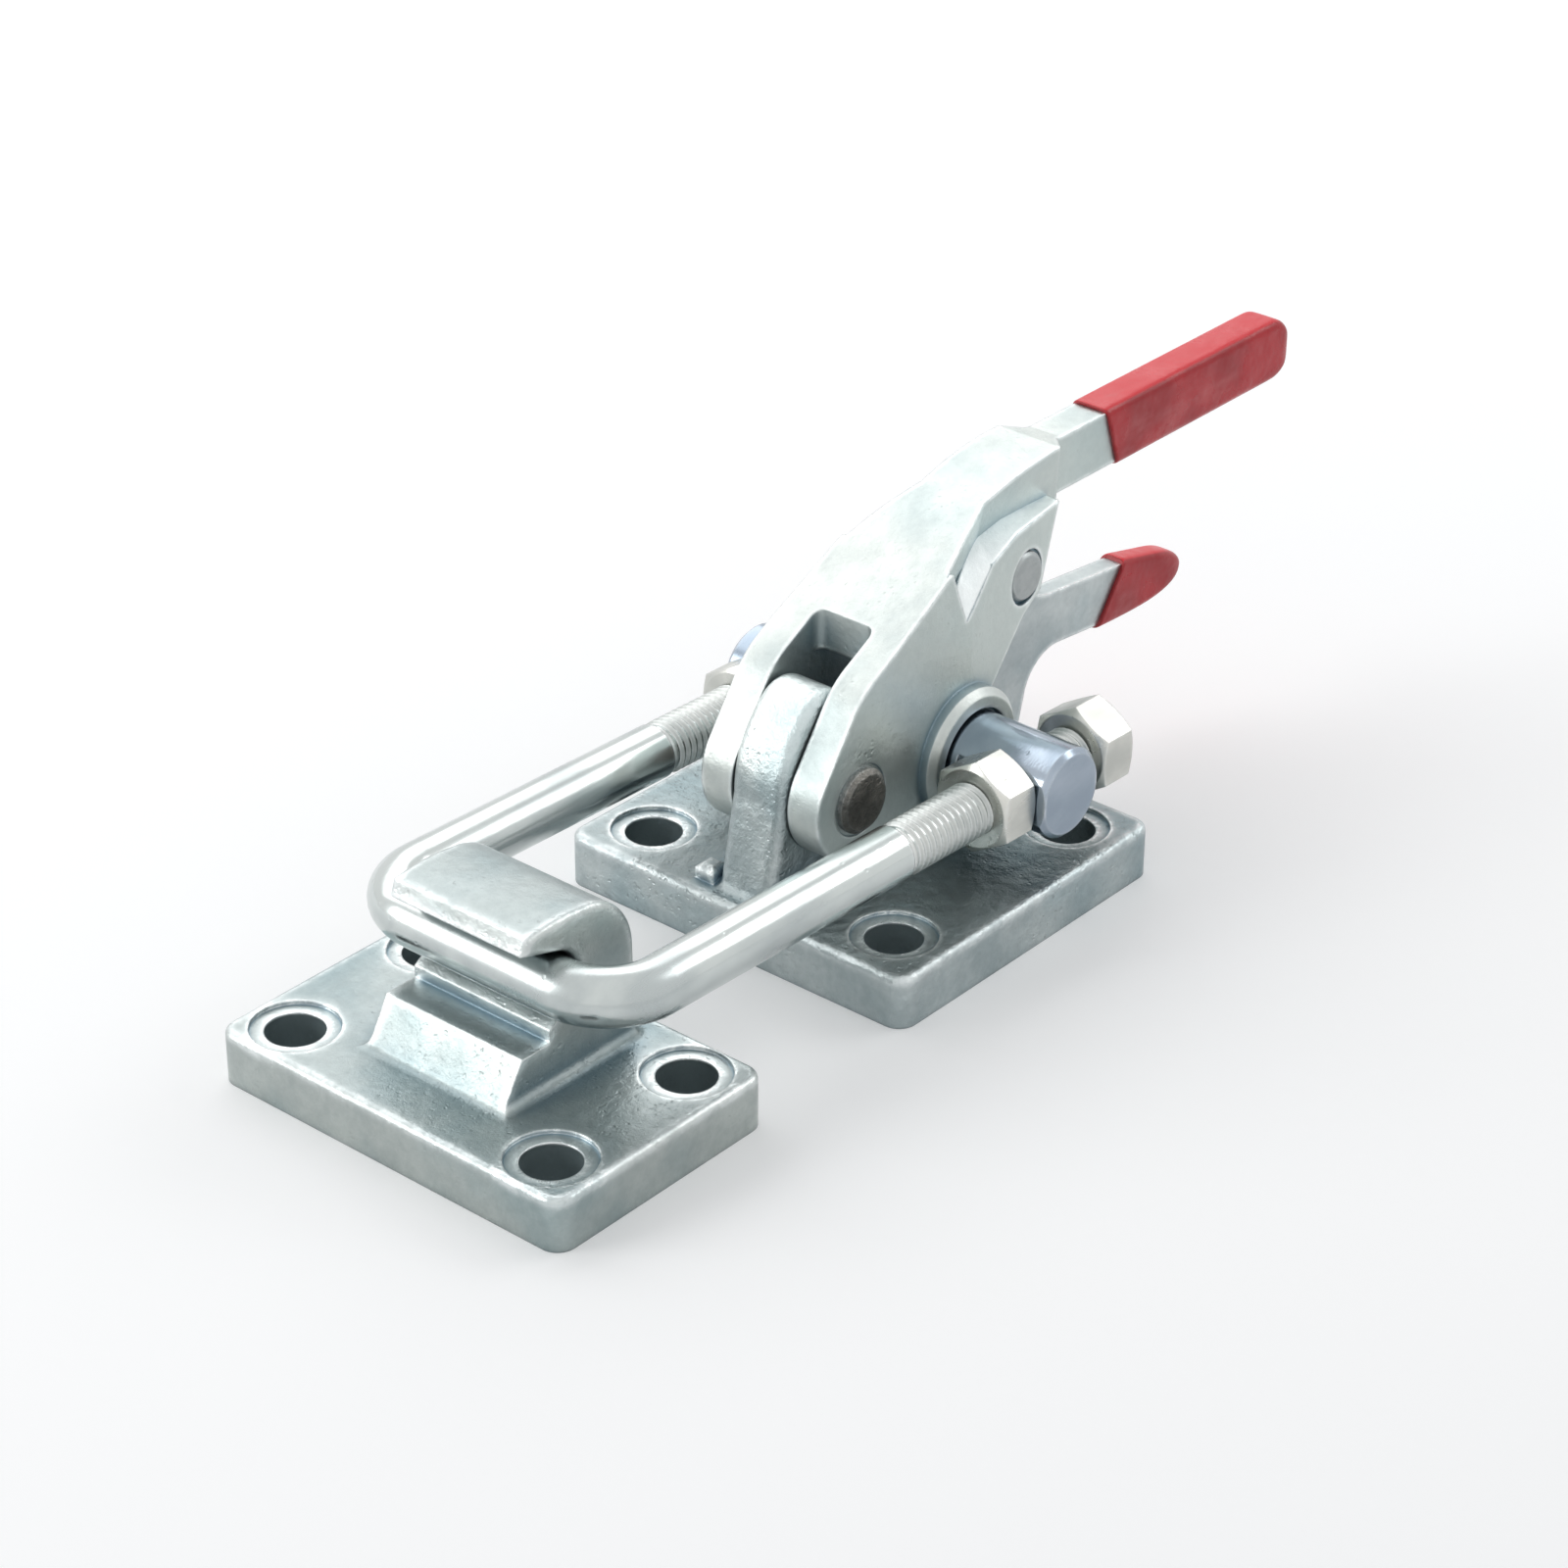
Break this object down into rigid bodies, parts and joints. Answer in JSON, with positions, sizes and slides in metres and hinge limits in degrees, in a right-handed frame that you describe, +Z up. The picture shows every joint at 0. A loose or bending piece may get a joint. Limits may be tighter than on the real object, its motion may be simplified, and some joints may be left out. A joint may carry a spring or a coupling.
{
  "type": "over centre toggle latch",
  "caption": "Heavy over centre toggle latch: bolted base with pivoting handle and U-bolt, hooked catch plate, and a sprung release trigger under the handle.",
  "frame": {"origin": "centre of the base's four-bolt pattern on the underside of the base plate", "axes": "+X from the catch plate towards the handle's free end, +Z up out of the mounting surface, near side of the picture at -Y"},
  "size_m": [0.304, 0.0966, 0.088],
  "materials": {
    "zinc_casting": "zinc plated steel casting, satin, lightly pitted",
    "zinc_bar": "bright zinc plated bar",
    "zinc_nut": "zinc plated, slightly warm",
    "zinc_plate": "zinc plated, satin",
    "pin_steel": "dark bare steel pin",
    "spring_steel": "spring steel wire",
    "bushing": "plain bearing bronze",
    "red_dip": "red dipped vinyl, soft sheen"
  },
  "bodies": {
    "mounts": {"base_plate": "zinc_casting", "catch_plate": "zinc_casting", "pivot_bushing": "bushing"},
    "handle": {"handle": "zinc_casting", "handle_grip": "red_dip", "main_pin": "pin_steel", "trigger_pin": "pin_steel", "trigger_spacer": "pin_steel", "trigger_spring": "spring_steel"},
    "draw_bar": {"trunnion": "zinc_bar", "u_bolt": "zinc_bar", "front_nut_near": "zinc_nut", "front_nut_far": "zinc_nut", "back_nut_near": "zinc_nut", "back_nut_far": "zinc_nut"},
    "trigger": {"trigger_lever": "zinc_plate", "trigger_grip": "red_dip", "spring_pin": "pin_steel"}
  },
  "joints": [
    {"name": "handle_hinge", "type": "hinge", "parent": "mounts", "child": "handle", "pos_m": [-0.0205, 0, 0.0345], "axis": [0, -1, 0], "range_deg": [0, 90]},
    {"name": "draw_bar_hinge", "type": "hinge", "parent": "handle", "child": "draw_bar", "pos_m": [0.016, 0, 0.031], "axis": [0, -1, 0], "range_deg": [-67.5, 0]},
    {"name": "trigger_hinge", "type": "hinge", "parent": "handle", "child": "trigger", "pos_m": [0.0425, 0, 0.0625], "axis": [0, -1, 0], "range_deg": [0, 22], "stiffness_Nm_per_rad": 0.6, "springref_deg": -17.19, "deforming": ["trigger_spring"]}
  ],
  "couplings": [
    {"joint": "draw_bar_hinge", "follows": "handle_hinge", "ratio": -0.75}
  ]
}
